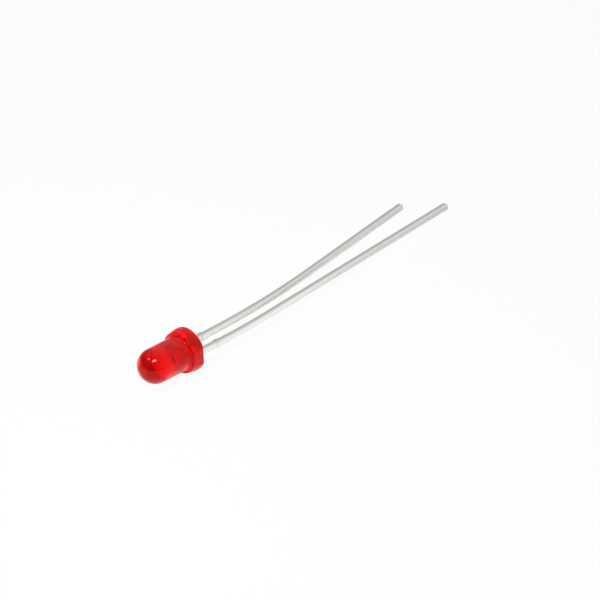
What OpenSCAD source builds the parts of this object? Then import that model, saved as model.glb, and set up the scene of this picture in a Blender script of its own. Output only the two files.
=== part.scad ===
// Through-hole LED with a 3 mm domed lens, lying on its flange and its two lead tips.
// The pieces are drawn standing: seat of the flange at zero height, dome up, leads down,
// the lead pair along Y with the cathode and the flange flat on the minus side.
// laid() then tips the whole LED onto its side, with the leads pointing along X.

/* [Lens] */
// Diameter of the round body
body_d = 3; // [2.8:0.05:3.1]
// Height from the seat of the flange to the top of the dome
body_len = 5.3; // [4.8:0.1:6.5]
// Diameter of the flange
flange_d = 3.8; // [3.7:0.05:4.2]
// Thickness of the flange
flange_t = 1.1; // [0.9:0.05:1.2]
// Height of the flange's straight wall, up to its taper
flange_wall = 0.5; // [0.3:0.05:0.6]
// Diameter of the flange's front, where its tapered side ends
flange_front_d = 3.54; // [3.48:0.02:3.6]
// Radius of the flange's front edge
flange_edge_r = 0.08; // [0.05:0.01:0.1]
// Radius of the hollow neck between flange and body
neck_r = 0.2; // [0.1:0.01:0.3]
// Distance from the axis to the flat on the flange
flat_dist = 1.76; // [1.65:0.01:1.8]

/* [Leads] */
// Distance between the two leads where they leave the seat
lead_pitch = 1.8; // [1.7:0.02:2.6]
// Width of a lead, along the pair
lead_w = 0.5; // [0.4:0.01:0.55]
// Thickness of the sheet that the leads are stamped from
lead_t = 0.5; // [0.4:0.01:0.6]
// How far the lead frame sits off the axis, towards the surface below
frame_drop = 0.2; // [0:0.02:0.3]
// Straight stretch of each lead below the seat
root_len = 2.8; // [2.7:0.1:4]
// Height from the seat down to the sheared tie bar stubs
stub_drop = 2.2; // [2.1:0.05:2.4]
// Height of a tie bar stub, along the lead
stub_h = 0.45; // [0.2:0.05:0.5]
// How far a tie bar stub stands out from the lead's side
stub_out = 0.07; // [0.04:0.01:0.2]

/* [Cathode lead shape] */
// Distance from the seat to the cathode lead's tip, along the axis
cathode_reach = 31.6; // [22:0.1:38]
// How far the cathode tip is set over towards the anode side
cathode_set = 1.5; // [0.5:0.1:4]
// Length of the stretch over which the cathode lead is bent
cathode_bend_len = 5.2; // [3:0.1:12]

/* [Anode lead shape] */
// Distance from the seat to the anode lead's tip, along the axis
anode_reach = 28.9; // [22:0.1:38]
// How far the anode tip is set outwards
anode_set = 2.4; // [0.5:0.1:4]
// Length of the stretch over which the anode lead is bent
anode_bend_len = 13.2; // [3:0.1:16]

/* [Lead frame inside the lens] */
// Height of the reflector cup's rim above the seat
cup_rim_z = 2.4; // [2.3:0.05:2.7]
// Diameter of the round head that holds the cup
head_d = 1; // [0.9:0.02:1.1]
// Height of the round head
head_h = 0.5; // [0.4:0.02:0.6]
// Height over which the flat anvil swells into the head
head_swell = 0.22; // [0.1:0.02:0.26]
// Diameter of the cup at its rim
cup_d = 0.84; // [0.7:0.02:0.88]
// Diameter of the cup's floor
cup_floor_d = 0.46; // [0.42:0.01:0.6]
// Depth of the cup
cup_depth = 0.3; // [0.26:0.01:0.36]
// Height of the anode post's top above the seat
post_top_z = 2.25; // [2.1:0.05:2.5]
// Gap between the cup head and the anode post
post_gap = 0.2; // [0.14:0.02:0.26]
// Epoxy between the posts and the body's round wall
post_wall = 0.34; // [0.25:0.01:0.4]

/* [Die and wire] */
// Width of the square die
die_w = 0.26; // [0.2:0.01:0.28]
// Height of the die
die_h = 0.2; // [0.15:0.01:0.22]
// Thickness of the glue under the die
glue_t = 0.02; // [0.01:0.005:0.03]
// Height that the glue climbs up the die and the cup
glue_climb = 0.07; // [0.04:0.01:0.1]
// Diameter of the bond wire
wire_d = 0.04; // [0.03:0.005:0.05]
// Diameter of the wire's ball and of its stitch
bond_d = 0.1; // [0.07:0.01:0.14]
// Height of the ball and of the stitch
bond_h = 0.03; // [0.02:0.005:0.05]
// Height above the cup's rim at which the wire starts to loop over
wire_rise = 0.06; // [0.02:0.01:0.3]

/* [How it lies] */
// Roll about the axis, which lifts the cathode side
lie_roll = 7; // [0:0.5:30]
// Dip of the axis towards the lead tips
lie_pitch = 3.6; // [2:0.1:5]

/* [Hidden] */
$fn = 64;

// How far a cutting shape runs past what it cuts
overrun = 0.5;

// Lens
body_r = body_d / 2;
flange_r = flange_d / 2;
dome_z = body_len - body_r;
taper = atan2((flange_d - flange_front_d) / 2, flange_t - flange_wall);
edge_z = flange_t - flange_edge_r;
edge_x = flange_r - (edge_z - flange_wall) * tan(taper) - flange_edge_r / cos(taper);
neck = min(neck_r, edge_x - body_r);

// Stamped frame, as distances from the axis and heights above the seat
lead_y = lead_pitch / 2;
lead_out = lead_y + lead_w / 2;
lead_in = lead_y - lead_w / 2;
post_out = body_r - post_wall;
post_in = head_d / 2 + post_gap;
head_z = cup_rim_z - head_h;
cup_floor_z = cup_rim_z - cup_depth;
jog_low_share = 0.3;
jog_high_share = 0.7;
foot_top_share = 0.9;
jog_low_z = flange_t * jog_low_share;
jog_high_z = flange_t * jog_high_share;
foot_in = post_gap;
foot_top_z = flange_t * foot_top_share;
foot_slope_z = foot_top_z + (post_in - foot_in);
anvil_in = foot_in - post_gap;
anvil_low_z = foot_top_z + post_gap;
shoulder_z = head_z - (post_out - head_d / 2) / 2;

// Die and bond wire
die_z = cup_floor_z + glue_t;
die_top_z = die_z + die_h;
post_mid = (post_in + post_out) / 2;
wire_base_z = cup_rim_z + wire_rise;
wire_loop_r = post_mid / 2;

// Upward direction, and the steps in which a lead's bend is swept
up = [0, 0, 1];
bend_steps = 18;

// Resting contact: the flange's back rim and both lead tips meet one level surface
rest_z = -flange_r * cos(lie_pitch);
tip_half = (lead_t * cos(lie_roll) + lead_w * sin(lie_roll)) / 2;

// Sideways lift, square to the lead pair, that brings a tip down to the surface
function tip_lift(reach, tip_y) =
    ((rest_z + tip_half + reach * sin(lie_pitch)) / cos(lie_pitch) + tip_y * sin(lie_roll)) / cos(lie_roll)
    + frame_drop;

// Tips the standing LED onto its side, leads along X, then rolls and pitches it to rest
module laid() {
    rotate([-lie_roll, lie_pitch, 0])
        rotate([0, -90, 0])
            children();
}

// Moves what is drawn on the axis to where the lead frame sits
module framed() {
    translate([-frame_drop, 0, 0])
        children();
}

// Sheet shape drawn across and up, made as thick as the lead sheet
module stamped() {
    rotate([90, 0, 90])
        linear_extrude(lead_t, center = true)
            children();
}

// Half outline of the lens, turned about the axis
module lens_profile() {
    intersection() {
        union() {
            square([body_r, dome_z]);
            translate([0, dome_z])
                circle(body_r);
            polygon([
                [0, 0],
                [flange_r, 0],
                [flange_r, flange_wall],
                [edge_x + flange_edge_r * cos(taper), edge_z + flange_edge_r * sin(taper)],
                [edge_x, edge_z],
                [edge_x, flange_t],
                [0, flange_t]
            ]);
            translate([edge_x, edge_z])
                circle(flange_edge_r);
            difference() {
                square([body_r + neck, flange_t + neck]);
                translate([body_r + neck, flange_t + neck])
                    circle(neck);
            }
        }
        square([flange_r, body_len]);
    }
}

module lens_outside() {
    difference() {
        rotate_extrude()
            lens_profile();
        translate([-flange_r, -flat_dist - flange_r, -overrun])
            cube([flange_d, flange_r, flange_t + neck + overrun]);
    }
}

// Straight stretch of a lead below the seat, with its tie bar stubs
module root_outline() {
    translate([lead_in, -root_len])
        square([lead_w, root_len + jog_low_z]);
    translate([lead_in - stub_out, -stub_drop - stub_h])
        square([lead_w + 2 * stub_out, stub_h]);
}

// Anode outline, on the plus side: a foot that locks it in the epoxy and a narrow post
module anode_outline() {
    root_outline();
    polygon([
        [lead_in, jog_low_z],
        [lead_out, jog_low_z],
        [post_out, jog_high_z],
        [post_out, post_top_z],
        [post_in, post_top_z],
        [post_in, foot_slope_z],
        [foot_in, foot_top_z],
        [foot_in, jog_high_z]
    ]);
}

// Cathode outline, mirrored to the minus side: the anvil below the cup
module cathode_outline() {
    mirror([1, 0])
        root_outline();
    polygon([
        [-lead_in, jog_low_z],
        [anvil_in, jog_high_z],
        [anvil_in, anvil_low_z],
        [head_d / 2, anvil_low_z + head_d / 2 - anvil_in],
        [head_d / 2, head_z],
        [-head_d / 2, head_z],
        [-post_out, shoulder_z],
        [-post_out, jog_high_z],
        [-lead_out, jog_low_z]
    ]);
}

// Round head with the coined reflector cup
module cup_head() {
    difference() {
        union() {
            translate([0, 0, head_z])
                cylinder(d = head_d, h = head_h);
            translate([0, 0, head_z - head_swell])
                cylinder(d1 = lead_t, d2 = head_d, h = head_swell);
        }
        cup_hollow(cup_depth + overrun);
    }
}

// Conical hollow of the cup, up to a height above its floor
module cup_hollow(height) {
    flare = (cup_d - cup_floor_d) / 2 / cup_depth;
    translate([0, 0, cup_floor_z])
        cylinder(r1 = cup_floor_d / 2, r2 = cup_floor_d / 2 + flare * height, h = height);
}

// Bent stretch and straight tip of a lead, swept from the end of its root.
// The bend lies in one plane, towards the side that the tip is set over to.
module lead_tail(root_y, reach, set, bend_len) {
    lift = tip_lift(reach, root_y + set);
    over = norm([lift, set]);
    inwards = [lift, set, 0] / over;
    square_to = [-inwards[1], inwards[0], 0];
    past_bend = reach - root_len - bend_len / 2;
    bend = atan2(over, past_bend);
    bend_r = bend_len / 2 / tan(bend / 2);
    tip_len = norm([over, past_bend]) - bend_len / 2;
    angles = [for (i = [0:bend_steps]) bend * i / bend_steps];
    arc = [for (a = angles) bend_r * ((1 - cos(a)) * inwards - sin(a) * up)];
    tip = arc[bend_steps] + tip_len * (sin(bend) * inwards - cos(bend) * up);
    path = concat(arc, [tip]);
    turns = concat(angles, [bend]);
    corners = [for (c = [[-1, -1], [1, -1], [1, 1], [-1, 1]]) [c[0] * lead_t, c[1] * lead_w, 0] / 2];
    rings = [for (i = [0:len(path) - 1], c = corners)
        path[i] + (c * square_to) * square_to
            + (c * inwards) * (cos(turns[i]) * inwards + sin(turns[i]) * up)];
    last = 4 * (len(path) - 1);
    sides = [for (i = [0:4:last - 1], k = [0:3])
        let (n = (k + 1) % 4)
        [i + k, i + n, i + 4 + n, i + 4 + k]];
    translate([0, root_y, -root_len])
        polyhedron(rings, concat([[3, 2, 1, 0]], sides, [[last, last + 1, last + 2, last + 3]]));
}

module cathode_frame() {
    stamped()
        cathode_outline();
    cup_head();
}

module anode_frame() {
    stamped()
        anode_outline();
}

// Glue that fills the bottom of the cup round the die
module glue() {
    difference() {
        cup_hollow(glue_t + glue_climb);
        die();
    }
}

module die() {
    translate([-die_w / 2, -die_w / 2, die_z])
        cube([die_w, die_w, die_h]);
}

// Ball on the die, loop over the cup's rim, stitch on the anode post
module wire() {
    translate([0, 0, die_top_z])
        cylinder(d = bond_d, h = bond_h);
    translate([0, 0, die_top_z + bond_h])
        cylinder(d = wire_d, h = wire_base_z - die_top_z - bond_h);
    translate([0, wire_loop_r, wire_base_z])
        rotate([90, 0, -90])
            rotate_extrude(angle = 180)
                translate([wire_loop_r, 0])
                    circle(d = wire_d);
    translate([0, post_mid, post_top_z + bond_h])
        cylinder(d = wire_d, h = wire_base_z - post_top_z - bond_h);
    translate([0, post_mid, post_top_z])
        cylinder(d = bond_d, h = bond_h);
}

// Cast round everything that it holds
module lens() {
    color([0.86, 0.05, 0.03, 0.55])
        laid()
            difference() {
                lens_outside();
                framed() {
                    cathode_frame();
                    anode_frame();
                    glue();
                    die();
                    wire();
                }
            }
}

module cathode_lead() {
    color([0.78, 0.78, 0.76])
        laid()
            framed() {
                cathode_frame();
                lead_tail(-lead_y, cathode_reach, cathode_set, cathode_bend_len);
            }
}

module anode_lead() {
    color([0.78, 0.78, 0.76])
        laid()
            framed() {
                anode_frame();
                lead_tail(lead_y, anode_reach, anode_set, anode_bend_len);
            }
}

module led_die() {
    color([0.35, 0.3, 0.25])
        laid()
            framed()
                die();
}

module die_attach() {
    color([0.6, 0.6, 0.62])
        laid()
            framed()
                glue();
}

module bond_wire() {
    color([0.9, 0.7, 0.25])
        laid()
            framed()
                wire();
}

lens();
cathode_lead();
anode_lead();
led_die();
die_attach();
bond_wire();
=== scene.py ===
import math
import bpy
from mathutils import Matrix, Vector


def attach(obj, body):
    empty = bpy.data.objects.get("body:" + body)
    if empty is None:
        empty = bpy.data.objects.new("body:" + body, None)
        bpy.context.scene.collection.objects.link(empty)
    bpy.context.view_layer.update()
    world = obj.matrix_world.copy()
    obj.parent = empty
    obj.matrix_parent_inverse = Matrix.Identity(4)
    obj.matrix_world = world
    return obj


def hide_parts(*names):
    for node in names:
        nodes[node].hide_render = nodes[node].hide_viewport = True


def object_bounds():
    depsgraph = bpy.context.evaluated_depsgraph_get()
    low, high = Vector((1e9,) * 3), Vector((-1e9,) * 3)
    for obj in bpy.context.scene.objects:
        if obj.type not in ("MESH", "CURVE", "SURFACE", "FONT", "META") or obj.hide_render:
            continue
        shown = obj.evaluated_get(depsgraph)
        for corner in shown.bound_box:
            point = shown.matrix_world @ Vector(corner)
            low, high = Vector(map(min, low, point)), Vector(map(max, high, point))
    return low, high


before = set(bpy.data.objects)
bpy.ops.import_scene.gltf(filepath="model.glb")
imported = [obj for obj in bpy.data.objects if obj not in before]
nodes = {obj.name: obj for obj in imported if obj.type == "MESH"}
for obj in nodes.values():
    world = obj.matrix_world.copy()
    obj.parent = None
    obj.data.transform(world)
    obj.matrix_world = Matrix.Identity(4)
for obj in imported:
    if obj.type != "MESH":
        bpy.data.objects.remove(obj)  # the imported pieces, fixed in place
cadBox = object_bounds()
mm = 0.001
nearby = 1e-4  # two places closer than this, in millimetres, are one
print("frame loaded:", ", ".join(sorted(nodes)))

# Pieces are modelled standing, in millimetres: seat at zero, dome up, leads down, cathode on -Y.
# layDown then tips them onto their side, as the frame has them.
rest = dict(roll=7.0, pitch=3.6)  # degrees
roll, pitch = math.radians(rest["roll"]), math.radians(rest["pitch"])
layDown = (
    Matrix.Rotation(pitch, 4, "Y")
    @ Matrix.Rotation(-roll, 4, "X")
    @ Matrix.Rotation(math.radians(-90), 4, "Y")
    @ Matrix.Scale(mm, 4)
)


def startFresh():
    if bpy.context.object and bpy.context.object.mode == "EDIT":
        bpy.ops.object.mode_set(mode="OBJECT")
    bpy.ops.object.select_all(action="DESELECT")


def pickOnly(piece):
    startFresh()
    piece.select_set(True)
    bpy.context.view_layer.objects.active = piece


def editAll(piece):
    pickOnly(piece)
    bpy.ops.object.mode_set(mode="EDIT")
    bpy.ops.mesh.select_mode(type="VERT")
    bpy.ops.mesh.select_all(action="SELECT")


def pickVerts(piece, wanted):
    # leaves edit mode on, with just the wanted vertices selected
    editAll(piece)
    bpy.ops.mesh.select_all(action="DESELECT")
    bpy.ops.object.mode_set(mode="OBJECT")
    for v in piece.data.vertices:
        v.select = wanted(v.co)
    bpy.ops.object.mode_set(mode="EDIT")


def startPoint(name, place):
    # one vertex to draw from, left selected in edit mode
    startFresh()
    bpy.ops.mesh.primitive_plane_add(size=1, location=place)
    piece = bpy.context.object
    piece.name = name
    bpy.ops.object.transform_apply(location=True)
    editAll(piece)
    bpy.ops.mesh.merge(type="CENTER")
    return piece, Vector(place)


def lineTo(pen, *place):
    bpy.ops.mesh.extrude_region_move(TRANSFORM_OT_translate={"value": Vector(place) - pen})
    pen[:] = place


def arcTo(pen, centre, degrees, steps, end):
    # round stretch of a half outline, in the XZ plane
    middle = (centre[0], 0, centre[1])
    bpy.ops.mesh.spin(steps=steps, angle=math.radians(degrees), center=middle, axis=(0, 1, 0))
    pen[:] = (end[0], 0, end[1])


def turnOutline(piece, turns):
    # turns a half outline about the axis into a closed body
    bpy.ops.mesh.select_all(action="SELECT")
    bpy.ops.mesh.spin(steps=turns, angle=math.radians(360), center=(0, 0, 0), axis=(0, 0, 1))
    bpy.ops.mesh.select_all(action="SELECT")
    bpy.ops.mesh.remove_doubles(threshold=nearby)
    bpy.ops.mesh.normals_make_consistent(inside=False)
    startFresh()


def applyModifier(piece, kind, **settings):
    pickOnly(piece)
    modifier = piece.modifiers.new(kind.title(), kind)
    for key, value in settings.items():
        setattr(modifier, key, value)
    bpy.ops.object.modifier_apply(modifier=modifier.name)


def easeEdges(piece, edge, steps, sharp):
    # rounds every edge that turns by more than the sharp angle
    angle = math.radians(sharp)
    applyModifier(piece, "BEVEL", width=edge, segments=steps, limit_method="ANGLE", angle_limit=angle)


def smoothPiece(piece, degrees):
    pickOnly(piece)
    bpy.ops.object.shade_smooth_by_angle(angle=math.radians(degrees))


def layPiece(piece, material, slot, *replaced, shift=0):
    # tips a standing piece over, freezes its place and hands it to the frame
    pickOnly(piece)
    piece.matrix_world = layDown @ Matrix.Translation((shift, 0, 0)) @ piece.matrix_world
    bpy.ops.object.transform_apply(location=True, rotation=True, scale=True)
    piece.data.materials.clear()
    piece.data.materials.append(material)
    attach(piece, "root")
    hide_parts(*replaced)
    print("piece ready:", piece.name, len(piece.data.polygons), "faces")


def newMaterial(name):
    material = bpy.data.materials.new(name)
    material.use_nodes = True
    nodeTree = material.node_tree
    return material, nodeTree, nodeTree.nodes["Principled BSDF"]


def addNode(nodeTree, kind, inputs=None, **settings):
    added = nodeTree.nodes.new(kind)
    for key, value in settings.items():
        setattr(added, key, value)
    for key, value in (inputs or {}).items():
        added.inputs[key].default_value = value
    return added


def addMath(nodeTree, operation, first, second):
    # works on two values, each a number or another node's output
    added = addNode(nodeTree, "ShaderNodeMath", operation=operation)
    for place, value in enumerate((first, second)):
        if isinstance(value, (int, float)):
            added.inputs[place].default_value = value
        else:
            nodeTree.links.new(value, added.inputs[place])
    return added.outputs[0]


def mixTones(nodeTree, first, second):
    # two colours, mixed by what is linked to input 0
    return addNode(nodeTree, "ShaderNodeMix", {6: (*first, 1), 7: (*second, 1)}, data_type="RGBA")


def roughnessFrom(nodeTree, noise, limits):
    # gloss that follows a noise, whose values lie mostly in this range
    low, high = 0.3, 0.7
    added = addNode(nodeTree, "ShaderNodeMapRange", {"From Min": low, "From Max": high})
    added.inputs["To Min"].default_value, added.inputs["To Max"].default_value = limits
    nodeTree.links.new(noise.outputs["Fac"], added.inputs["Value"])
    return added.outputs["Result"]


# Camera: the photo's angle, for a square picture
shot = dict(
    azimuth=313.92,
    elevation=34.79,
    distance=476 * mm,
    lens=351.4,
    sensor=36,
    nearest=10 * mm,
    aimRight=9.07 * mm,  # from the seat to the middle of the picture
    aimUp=3.93 * mm,
)


def makeCamera():
    turn, lift = math.radians(shot["azimuth"]), math.radians(shot["elevation"])
    back = Vector((math.sin(turn) * math.cos(lift), -math.cos(turn) * math.cos(lift), math.sin(lift)))
    right = Vector((math.cos(turn), math.sin(turn), 0))
    up = back.cross(right)
    aim = right * shot["aimRight"] + up * shot["aimUp"]
    startFresh()
    bpy.ops.object.camera_add(location=aim + back * shot["distance"])
    camera = bpy.context.object
    camera.rotation_mode = "QUATERNION"
    camera.rotation_quaternion = (-back).to_track_quat("-Z", "Y")
    camera.data.lens = shot["lens"]
    camera.data.sensor_width = shot["sensor"]
    camera.data.clip_start = shot["nearest"]
    bpy.context.scene.camera = camera


makeCamera()
print("camera set")

# Stage: a white floor that keeps a faint shadow, and a white room
stage = dict(
    floorSize=3.0, floorWhite=0.88, floorRoughness=0.9,
    glow=dict(camera=0.94, seeThrough=0.5),  # how far each kind of ray sees the floor as plain white
    # mirror rays see it so in front of the near lead, and less towards the tips
    mirrorGlow=dict(way=(1, 10, 0), first=1.0, firstAt=-13 * mm, last=0.0, lastAt=-4 * mm),
    roomLight=0.28,
    # the room in mirrors is brighter up over the tips, and through the lens it is darker overhead
    mirrored=dict(way=(0.6, -0.3, 0.74), first=0.2, firstAt=0.0, last=0.88, lastAt=0.9),
    throughLens=dict(way=(0.14, -0.32, -0.94), first=0.3, firstAt=-1.0, last=1.3, lastAt=0.0),
)


def seenDirectly(nodeTree, camera, glossy, seeThrough):
    # the given share for camera, mirror and see-through rays, 0 for light that falls on things
    path = addNode(nodeTree, "ShaderNodeLightPath").outputs
    cameraShare = addMath(nodeTree, "MULTIPLY", path["Is Camera Ray"], camera)
    mirrorRay = addMath(nodeTree, "MULTIPLY", path["Is Glossy Ray"], path["Is Reflection Ray"])
    glossyShare = addMath(nodeTree, "MULTIPLY", mirrorRay, glossy)
    throughShare = addMath(nodeTree, "MULTIPLY", path["Is Transmission Ray"], seeThrough)
    outside = addMath(nodeTree, "MAXIMUM", cameraShare, glossyShare)
    return addMath(nodeTree, "MAXIMUM", outside, throughShare)


def fadeAcross(nodeTree, place, fade):
    # from the first value to the last, by how far a place or direction goes that way
    facing = addNode(nodeTree, "ShaderNodeVectorMath", {1: fade["way"]}, operation="DOT_PRODUCT")
    limits = {
        "From Min": fade["firstAt"], "From Max": fade["lastAt"],
        "To Min": fade["first"], "To Max": fade["last"],
    }
    added = addNode(nodeTree, "ShaderNodeMapRange", limits)
    nodeTree.links.new(place, facing.inputs[0])
    nodeTree.links.new(facing.outputs["Value"], added.inputs["Value"])
    return added.outputs["Result"]


def makeFloor():
    startFresh()
    bpy.ops.mesh.primitive_plane_add(size=stage["floorSize"], location=(0, 0, cadBox[0].z))
    floor = bpy.context.object
    floor.name = "studioFloor"
    material, nodeTree, shader = newMaterial("whitePaper")
    white = stage["floorWhite"]
    shader.inputs["Base Color"].default_value = (white, white, white, 1)
    shader.inputs["Roughness"].default_value = stage["floorRoughness"]
    shader.inputs["Specular IOR Level"].default_value = 0
    glow = addNode(nodeTree, "ShaderNodeEmission", {"Strength": 1.0, "Color": (1, 1, 1, 1)})
    mix = addNode(nodeTree, "ShaderNodeMixShader")
    place = addNode(nodeTree, "ShaderNodeTexCoord").outputs["Object"]
    mirrorGlow = fadeAcross(nodeTree, place, stage["mirrorGlow"])
    nodeTree.links.new(seenDirectly(nodeTree, glossy=mirrorGlow, **stage["glow"]), mix.inputs["Fac"])
    nodeTree.links.new(shader.outputs["BSDF"], mix.inputs[1])
    nodeTree.links.new(glow.outputs["Emission"], mix.inputs[2])
    nodeTree.links.new(mix.outputs["Shader"], nodeTree.nodes["Material Output"].inputs["Surface"])
    floor.data.materials.append(material)


def makeRoom():
    world = bpy.data.worlds.new("studioRoom")
    bpy.context.scene.world = world
    world.use_nodes = True
    nodeTree = world.node_tree
    links = nodeTree.links
    light = nodeTree.nodes["Background"]
    light.inputs["Color"].default_value = (1, 1, 1, 1)
    light.inputs["Strength"].default_value = stage["roomLight"]
    place = addNode(nodeTree, "ShaderNodeTexCoord").outputs["Generated"]
    path = addNode(nodeTree, "ShaderNodeLightPath").outputs
    lensOrMirror = addNode(nodeTree, "ShaderNodeMix", data_type="FLOAT")
    seenRoom = addNode(nodeTree, "ShaderNodeBackground", {"Color": (1, 1, 1, 1)})
    mix = addNode(nodeTree, "ShaderNodeMixShader")
    links.new(path["Is Transmission Ray"], lensOrMirror.inputs["Factor"])
    links.new(fadeAcross(nodeTree, place, stage["mirrored"]), lensOrMirror.inputs["A"])
    links.new(fadeAcross(nodeTree, place, stage["throughLens"]), lensOrMirror.inputs["B"])
    brightness = addMath(nodeTree, "MAXIMUM", lensOrMirror.outputs["Result"], path["Is Camera Ray"])
    links.new(brightness, seenRoom.inputs["Strength"])
    links.new(seenDirectly(nodeTree, camera=1, glossy=1, seeThrough=1), mix.inputs["Fac"])
    links.new(light.outputs["Background"], mix.inputs[1])
    links.new(seenRoom.outputs["Background"], mix.inputs[2])
    links.new(mix.outputs["Shader"], nodeTree.nodes["World Output"].inputs["Surface"])


# Softboxes, close over the dome: which way and how far from it, how big and how strong
domeMiddle = Vector((-3.8 * mm, 0, 0))
softboxes = dict(
    keyBox=dict(
        towards=(-0.37, -0.235, 0.90), away=80 * mm, width=30 * mm, depth=12.8 * mm, power=0.049
    ),
    backBox=dict(
        towards=(-0.45, 0.345, 0.825), away=100 * mm, width=22 * mm, depth=22 * mm, power=0.0195
    ),
)


def makeSoftboxes():
    for name, box in softboxes.items():
        startFresh()
        towards = Vector(box["towards"]).normalized()
        bpy.ops.object.light_add(type="AREA", location=domeMiddle + towards * box["away"])
        lamp = bpy.context.object
        lamp.name = name
        lamp.rotation_mode = "QUATERNION"
        lamp.rotation_quaternion = (-towards).to_track_quat("-Z", "Y")
        lamp.data.shape = "RECTANGLE"
        lamp.data.size, lamp.data.size_y = box["width"], box["depth"]
        lamp.data.energy = box["power"]


makeFloor()
makeRoom()
makeSoftboxes()
print("stage and lights set")

# Cast red epoxy: nearly clear, a little milky, tinted through its depth, its skin a little uneven
redEpoxy = dict(
    colour=(0.98, 0.012, 0.005), clearness=0.92, index=1.54, sheen=(1, 0.25, 0.24),
    tint=(0.997, 0.06, 0.03), density=3500.0,
    roughness=(0.02, 0.05), ripple=900.0, rippleDetail=2.0,  # ripple is per metre
)


def epoxyMaterial():
    material, nodeTree, shader = newMaterial("redEpoxy")
    shader.inputs["Base Color"].default_value = (*redEpoxy["colour"], 1)
    shader.inputs["Transmission Weight"].default_value = redEpoxy["clearness"]
    shader.inputs["IOR"].default_value = redEpoxy["index"]
    shader.inputs["Specular Tint"].default_value = (*redEpoxy["sheen"], 1)
    place = addNode(nodeTree, "ShaderNodeTexCoord").outputs["Object"]
    waves = {"Scale": redEpoxy["ripple"], "Detail": redEpoxy["rippleDetail"]}
    ripple = addNode(nodeTree, "ShaderNodeTexNoise", waves)
    nodeTree.links.new(place, ripple.inputs["Vector"])
    roughness = roughnessFrom(nodeTree, ripple, redEpoxy["roughness"])
    nodeTree.links.new(roughness, shader.inputs["Roughness"])
    tint = {"Color": (*redEpoxy["tint"], 1), "Density": redEpoxy["density"]}
    soak = addNode(nodeTree, "ShaderNodeVolumeAbsorption", tint)
    nodeTree.links.new(soak.outputs["Volume"], nodeTree.nodes["Material Output"].inputs["Volume"])
    return material


# Lens: half an outline turned about the axis, then its flange flattened on the cathode side
lensShape = dict(
    bodyR=1.5, length=5.3, flangeR=1.9, flangeT=1.1, wall=0.5, taper=0.13,
    frontEdge=0.08, backEdge=0.04, neck=0.2, flatAt=1.76,
    turns=192, edgeSteps=8, domeSteps=40, smooth=40,
    hold=0.02,  # a short step beside each rounding keeps flats flat
)


def makeLens():
    s = lensShape
    bodyR, flangeR, top = s["bodyR"], s["flangeR"], s["flangeT"]
    back, front, neck, hold = s["backEdge"], s["frontEdge"], s["neck"], s["hold"]
    domeAt = s["length"] - bodyR
    lean = math.atan2(s["taper"], top - s["wall"])
    edgeZ = top - front
    edgeX = flangeR - (edgeZ - s["wall"]) * math.tan(lean) - front / math.cos(lean)
    taperEnd = (edgeX + front * math.cos(lean), edgeZ + front * math.sin(lean))
    lens, pen = startPoint("lensBody", (0, 0, 0))
    lineTo(pen, flangeR - back - hold, 0, 0)
    lineTo(pen, flangeR - back, 0, 0)
    arcTo(pen, (flangeR - back, back), 90, s["edgeSteps"], (flangeR, back))
    lineTo(pen, flangeR, 0, back + hold)
    lineTo(pen, flangeR, 0, s["wall"] - hold)
    lineTo(pen, flangeR - hold * math.sin(lean), 0, s["wall"] + hold * math.cos(lean))
    lineTo(pen, taperEnd[0] + hold * math.sin(lean), 0, taperEnd[1] - hold * math.cos(lean))
    lineTo(pen, taperEnd[0], 0, taperEnd[1])
    arcTo(pen, (edgeX, edgeZ), 90 - math.degrees(lean), s["edgeSteps"], (edgeX, top))
    lineTo(pen, bodyR + neck, 0, top)
    arcTo(pen, (bodyR + neck, top + neck), -90, s["edgeSteps"], (bodyR, top + neck))
    lineTo(pen, bodyR, 0, top + neck + hold)
    lineTo(pen, bodyR, 0, domeAt - hold)
    lineTo(pen, bodyR, 0, domeAt)
    arcTo(pen, (0, domeAt), 90, s["domeSteps"], (0, s["length"]))
    turnOutline(lens, s["turns"])
    # the flat: every ring of the flange that reaches past it is pressed back onto it
    places = [v.co for v in lens.data.vertices]
    rings = sorted({(round(math.hypot(co.x, co.y), 4), round(co.z, 4)) for co in places})
    for radius, height in rings:
        inset = flangeR - radius if height < back else 0  # the back edge stays rounded along the flat
        limit = s["flatAt"] - inset
        if inset > 2 * back or radius <= limit or height > top:
            continue

        def pastFlat(co):
            onRing = abs(co.z - height) < nearby and abs(math.hypot(co.x, co.y) - radius) < nearby
            return onRing and co.y < -limit

        pickVerts(lens, pastFlat)
        bpy.ops.transform.resize(value=(1, 0, 1), center_override=(0, -limit, 0))
    smoothPiece(lens, s["smooth"])
    layPiece(lens, epoxyMaterial(), "red_epoxy", "lens")


makeLens()

# Tin plate over steel: fine drawing marks along the lead, duller where it is cast in
tinPlate = dict(
    bright=(0.92, 0.925, 0.89), dull=(0.83, 0.835, 0.80), cutEnd=(0.42, 0.41, 0.40),
    roughness=(0.22, 0.27), castIn=0.55,
    marks=(200, 6000, 6000), markDetail=3.0, patches=900.0, patchDetail=2.0,  # per metre
    bump=0.008, bumpDepth=0.01 * mm, cutDepth=0.012 * mm,
)


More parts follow.
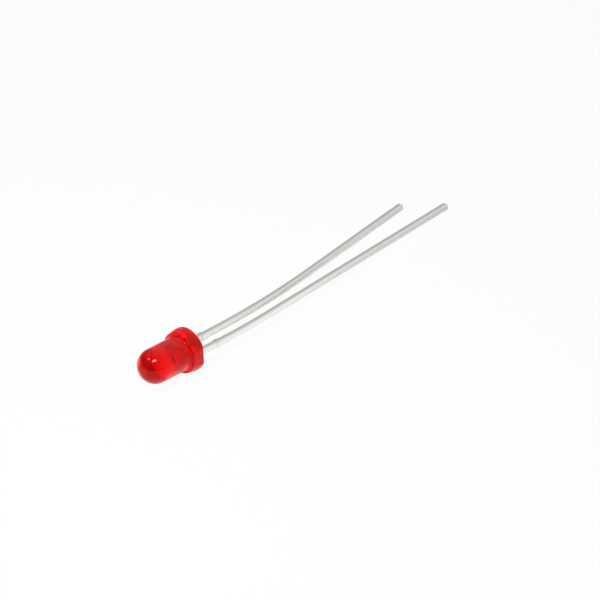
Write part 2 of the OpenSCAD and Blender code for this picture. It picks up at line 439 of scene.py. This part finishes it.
def tinMaterial(name, tip, tipWay):
    t = tinPlate
    material, nodeTree, shader = newMaterial(name)
    links = nodeTree.links
    place = addNode(nodeTree, "ShaderNodeTexCoord").outputs["Object"]
    along = addNode(nodeTree, "ShaderNodeMapping", {"Scale": t["marks"]})
    marks = addNode(nodeTree, "ShaderNodeTexNoise", {"Scale": 1.0, "Detail": t["markDetail"]})
    spread = {"Scale": t["patches"], "Detail": t["patchDetail"]}
    patches = addNode(nodeTree, "ShaderNodeTexNoise", spread)
    tone = mixTones(nodeTree, t["dull"], t["bright"])
    links.new(place, along.inputs["Vector"])
    links.new(place, patches.inputs["Vector"])
    links.new(along.outputs["Vector"], marks.inputs["Vector"])
    links.new(patches.outputs["Fac"], tone.inputs[0])

    # bare steel where the tip was sheared off
    reach = addNode(nodeTree, "ShaderNodeVectorMath", {1: tipWay}, operation="DOT_PRODUCT")
    links.new(place, reach.inputs[0])
    cutAt = tip.dot(tipWay) - t["cutDepth"]
    finish = addNode(nodeTree, "ShaderNodeMix", {7: (*t["cutEnd"], 1)}, data_type="RGBA")
    links.new(addMath(nodeTree, "GREATER_THAN", reach.outputs["Value"], cutAt), finish.inputs[0])
    links.new(tone.outputs[2], finish.inputs[6])
    links.new(finish.outputs[2], shader.inputs["Base Color"])

    # satin outside, matt inside the lens, whose back is near zero along X
    split = addNode(nodeTree, "ShaderNodeSeparateXYZ")
    links.new(place, split.inputs[0])
    inside = addMath(nodeTree, "LESS_THAN", split.outputs["X"], 0)
    matt = addMath(nodeTree, "MULTIPLY", inside, t["castIn"])
    satin = roughnessFrom(nodeTree, marks, t["roughness"])
    links.new(addMath(nodeTree, "MAXIMUM", matt, satin), shader.inputs["Roughness"])

    bump = addNode(nodeTree, "ShaderNodeBump", {"Strength": t["bump"], "Distance": t["bumpDepth"]})
    links.new(marks.outputs["Fac"], bump.inputs["Height"])
    links.new(bump.outputs["Normal"], shader.inputs["Normal"])
    shader.inputs["Metallic"].default_value = 1
    return material


# Stamped lead frame: distances across from the axis and heights above the seat
leadFrame = dict(
    width=0.5, sheet=0.5, pitch=1.8, root=2.8,
    drop=0.2,  # off the axis, towards the floor
    stubTop=2.2, stubHeight=0.45, stubOut=0.07, stubThin=0.02, stubEdge=0.025,
    jogLow=0.33, jogHigh=0.77, footTop=0.99,
    postIn=0.7, postOut=1.16, postTop=2.25, gap=0.2,
    headR=0.5, headZ=1.9, headIn=0.02,
    edge=0.08, edgeSteps=4, sharp=40, smooth=35, bendSteps=24,
)
leadIn = (leadFrame["pitch"] - leadFrame["width"]) / 2
leadOut = (leadFrame["pitch"] + leadFrame["width"]) / 2


def joinInto(piece, other):
    # one closed piece out of two, cut into plain triangles so that the seam has no slivers
    applyModifier(piece, "BOOLEAN", operation="UNION", object=other, solver="EXACT")
    pickOnly(other)
    bpy.ops.object.delete()
    editAll(piece)
    bpy.ops.mesh.quads_convert_to_tris(quad_method="BEAUTY", ngon_method="BEAUTY")
    startFresh()


def addStubs(piece, rootY):
    # what the sheared tie bar leaves on both sides of a lead
    f = leadFrame
    size = (f["sheet"] - f["stubThin"], f["width"] + 2 * f["stubOut"], f["stubHeight"])
    startFresh()
    middle = (0, rootY, -f["stubTop"] - f["stubHeight"] / 2)
    bpy.ops.mesh.primitive_cube_add(size=1, scale=size, location=middle)
    stubs = bpy.context.object
    bpy.ops.object.transform_apply(location=True, scale=True)
    applyModifier(stubs, "BEVEL", width=f["stubEdge"], segments=f["edgeSteps"])
    joinInto(piece, stubs)


def stampSheet(name, outline):
    # the outline, across and up, thickened to the sheet
    half = leadFrame["sheet"] / 2
    piece, pen = startPoint(name, (-half, *outline[0]))
    for corner in outline[1:]:
        lineTo(pen, -half, *corner)
    bpy.ops.mesh.select_all(action="SELECT")
    bpy.ops.mesh.edge_face_add()
    bpy.ops.mesh.extrude_region_move(TRANSFORM_OT_translate={"value": (leadFrame["sheet"], 0, 0)})
    bpy.ops.mesh.select_all(action="SELECT")
    bpy.ops.mesh.normals_make_consistent(inside=False)
    return piece


def bendTail(piece, lead):
    # bends the lead below its root until its tip lies on the floor; gives the tip and the way it points
    f = leadFrame
    rootY, run = lead["rootY"], lead["reach"] - f["root"] - lead["bendLen"] / 2
    tipHalf = (f["sheet"] * math.cos(roll) + f["width"] * math.sin(roll)) / 2
    rise = (tipHalf + lead["reach"] * math.sin(pitch)) / math.cos(pitch) - lensShape["flangeR"]
    lift = (rise + (rootY + lead["setOver"]) * math.sin(roll)) / math.cos(roll) + f["drop"]
    over = Vector((lift, lead["setOver"], 0))
    inwards = over.normalized()
    bend = math.atan2(over.length, run)
    bendR = lead["bendLen"] / 2 / math.tan(bend / 2)
    centre = Vector((0, rootY, -f["root"])) + bendR * inwards
    pickVerts(piece, lambda co: co.z < nearby - f["root"])
    hinge = (-inwards.y, inwards.x, 0)
    bpy.ops.mesh.spin(
        steps=f["bendSteps"], angle=bend, center=centre, axis=hinge, use_auto_merge=False
    )
    tipWay = math.sin(bend) * inwards - Vector((0, 0, math.cos(bend)))
    tipLen = math.hypot(over.length, run) - lead["bendLen"] / 2
    bpy.ops.mesh.extrude_region_move(TRANSFORM_OT_translate={"value": tipWay * tipLen})
    startFresh()
    easeEdges(piece, f["edge"], f["edgeSteps"], f["sharp"])
    tip = Vector((0, rootY, -f["root"])) + over - Vector((0, 0, lead["reach"] - f["root"]))
    return tip, tipWay


def finishLead(piece, tip, tipWay, node):
    tip = layDown @ (tip - Vector((leadFrame["drop"], 0, 0)))
    tipWay = (layDown.to_3x3() @ tipWay).normalized()
    smoothPiece(piece, leadFrame["smooth"])
    material = tinMaterial(piece.name + "Tin", tip, tipWay)
    layPiece(piece, material, "tinned_steel", node, shift=-leadFrame["drop"])


# Anode: a foot that locks it in the epoxy and a narrow post for the wire
anode = dict(rootY=0.9, reach=28.9, setOver=2.4, bendLen=13.2)


def makeAnode():
    f = leadFrame
    outline = [
        (leadIn, -f["root"]),
        (leadIn, f["jogLow"]),
        (f["gap"], f["jogHigh"]),
        (f["gap"], f["footTop"]),
        (f["postIn"], f["footTop"] + f["postIn"] - f["gap"]),
        (f["postIn"], f["postTop"]),
        (f["postOut"], f["postTop"]),
        (f["postOut"], f["jogHigh"]),
        (leadOut, f["jogLow"]),
        (leadOut, -f["root"]),
    ]
    piece = stampSheet("anodeLead", outline)
    tip, tipWay = bendTail(piece, anode)
    addStubs(piece, anode["rootY"])
    finishLead(piece, tip, tipWay, "anode_lead")


# Cathode: the anvil below the reflector cup
cathode = dict(
    rootY=-0.9, reach=31.6, setOver=1.5, bendLen=5.2,
    swell=0.22, rimZ=2.4, rimEdge=0.02, rimSteps=4,
    cupR=0.42, cupFloorR=0.23, cupDepth=0.3, turns=64,
)


def makeCupHead():
    c, headR = cathode, leadFrame["headR"]
    low = leadFrame["headZ"] - c["swell"]
    head, pen = startPoint("cupHead", (0, 0, low))
    lineTo(pen, leadFrame["sheet"] / 2, 0, low)
    lineTo(pen, headR, 0, leadFrame["headZ"])
    lineTo(pen, headR, 0, c["rimZ"] - c["rimEdge"])
    rimR = headR - c["rimEdge"]
    arcTo(pen, (rimR, c["rimZ"] - c["rimEdge"]), 90, c["rimSteps"], (rimR, c["rimZ"]))
    lineTo(pen, c["cupR"], 0, c["rimZ"])
    lineTo(pen, c["cupFloorR"], 0, c["rimZ"] - c["cupDepth"])
    lineTo(pen, 0, 0, c["rimZ"] - c["cupDepth"])
    turnOutline(head, c["turns"])
    return head


def makeCathode():
    f = leadFrame
    anvilZ = f["footTop"] + f["gap"]
    sideY, sideZ = f["headR"] - f["headIn"], f["headZ"] - f["headIn"]  # just inside the cup's head
    outline = [
        (-leadOut, -f["root"]),
        (-leadOut, f["jogLow"]),
        (-f["postOut"], f["jogHigh"]),
        (-f["postOut"], f["headZ"] - (f["postOut"] - f["headR"]) / 2),
        (-sideY, sideZ),
        (sideY, sideZ),
        (sideY, anvilZ + sideY),
        (0, anvilZ),
        (0, f["jogHigh"]),
        (-leadIn, f["jogLow"]),
        (-leadIn, -f["root"]),
    ]
    piece = stampSheet("cathodeLead", outline)
    tip, tipWay = bendTail(piece, cathode)
    addStubs(piece, cathode["rootY"])
    joinInto(piece, makeCupHead())
    finishLead(piece, tip, tipWay, "cathode_lead")


makeAnode()
makeCathode()


def grainMaterial(name, finish):
    # two tones and a varying gloss on one fine grain, which is per metre
    material, nodeTree, shader = newMaterial(name)
    place = addNode(nodeTree, "ShaderNodeTexCoord").outputs["Object"]
    grainDetail = 3.0
    noise = addNode(nodeTree, "ShaderNodeTexNoise", {"Scale": finish["grain"], "Detail": grainDetail})
    tone = mixTones(nodeTree, finish["dark"], finish["light"])
    nodeTree.links.new(place, noise.inputs["Vector"])
    nodeTree.links.new(noise.outputs["Fac"], tone.inputs[0])
    nodeTree.links.new(tone.outputs[2], shader.inputs["Base Color"])
    roughness = roughnessFrom(nodeTree, noise, finish["roughness"])
    nodeTree.links.new(roughness, shader.inputs["Roughness"])
    shader.inputs["Metallic"].default_value = finish["metallic"]
    return material


# Die: a sawn block with eased edges and a shallow sunk top
die = dict(
    width=0.26, height=0.2, floorZ=2.12, sunkIn=0.02, sunkDeep=0.006,
    edge=0.002, edgeSteps=2, sharp=40, smooth=35,
    dark=(0.16, 0.13, 0.11), light=(0.34, 0.29, 0.25),
    metallic=0, roughness=(0.12, 0.3), grain=30000.0,
)


def makeDie():
    d = die
    startFresh()
    middle = d["floorZ"] + d["height"] / 2
    bpy.ops.mesh.primitive_cube_add(size=d["width"], location=(0, 0, middle))
    piece = bpy.context.object
    piece.name = "dieCube"
    bpy.ops.object.transform_apply(location=True)
    editAll(piece)
    bpy.ops.transform.resize(value=(1, 1, d["height"] / d["width"]), center_override=(0, 0, middle))
    pickVerts(piece, lambda co: co.z > middle)
    bpy.ops.mesh.inset(thickness=d["sunkIn"], depth=0)
    bpy.ops.mesh.extrude_region_move(TRANSFORM_OT_translate={"value": (0, 0, -d["sunkDeep"])})
    startFresh()
    easeEdges(piece, d["edge"], d["edgeSteps"], d["sharp"])
    smoothPiece(piece, d["smooth"])
    layPiece(piece, grainMaterial("dieSemiconductor", d), "die", "led_die", shift=-leadFrame["drop"])


# Bond wire: ball on the die, loop over the cup's rim, stitch on the anode post
bondWire = dict(
    wireR=0.02, bondR=0.05, bondHeight=0.03, ballZ=2.32, loopZ=2.46, postMid=0.93, stitchZ=2.25,
    bulge=[(0.2, 0.85), (0.5, 1.0), (0.8, 0.85)],  # a bond's flank, as shares of its height and radius
    around=16, loopSteps=32, smooth=60,
    dark=(0.84, 0.58, 0.20), light=(0.95, 0.72, 0.32),
    metallic=1, roughness=(0.12, 0.24), grain=40000.0,
)


def swellTo(pen, z, radius, nowRadius):
    # carries the open end of the wire to a new height and thickness
    bpy.ops.mesh.extrude_region_move(TRANSFORM_OT_translate={"value": (0, 0, z - pen.z)})
    pen.z = z
    factor = radius / nowRadius
    bpy.ops.transform.resize(value=(factor, factor, 1), center_override=pen)


def makeBondWire():
    w = bondWire
    startFresh()
    pen, now = Vector((0, 0, w["ballZ"])), w["bondR"] / 2
    bpy.ops.mesh.primitive_circle_add(vertices=w["around"], radius=now, fill_type="NGON", location=pen)
    piece = bpy.context.object
    piece.name = "goldWire"
    bpy.ops.object.transform_apply(location=True)
    editAll(piece)
    flank = w["bulge"] + [(1.0, w["wireR"] / w["bondR"])]
    for up, share in flank:
        swellTo(pen, w["ballZ"] + up * w["bondHeight"], share * w["bondR"], now)
        now = share * w["bondR"]
    bpy.ops.mesh.extrude_region_move(TRANSFORM_OT_translate={"value": (0, 0, w["loopZ"] - pen.z)})
    middle = (0, w["postMid"] / 2, w["loopZ"])
    halfTurn = math.radians(180)
    bpy.ops.mesh.spin(
        steps=w["loopSteps"], angle=halfTurn, center=middle, axis=(1, 0, 0), use_auto_merge=False
    )
    pen = Vector((0, w["postMid"], w["loopZ"]))
    for up, share in reversed(flank):
        swellTo(pen, w["stitchZ"] + up * w["bondHeight"], share * w["bondR"], now)
        now = share * w["bondR"]
    swellTo(pen, w["stitchZ"], w["bondR"] / 2, now)
    bpy.ops.mesh.select_all(action="SELECT")
    bpy.ops.mesh.normals_make_consistent(inside=False)
    smoothPiece(piece, w["smooth"])
    layPiece(piece, grainMaterial("wireGold", w), "gold_wire", "bond_wire", shift=-leadFrame["drop"])


# Silver-filled glue under the die, on the frame's own piece
silverGlue = dict(
    dark=(0.46, 0.46, 0.48), light=(0.68, 0.68, 0.70), metallic=0.3, roughness=(0.45, 0.7), grain=50000.0
)


def dressGlue():
    glue = nodes["die_attach"]
    glue.data.materials.clear()
    glue.data.materials.append(grainMaterial("dieGlue", silverGlue))
    print("glue dressed")


makeDie()
makeBondWire()
dressGlue()

bpy.context.scene.view_settings.view_transform = "Standard"
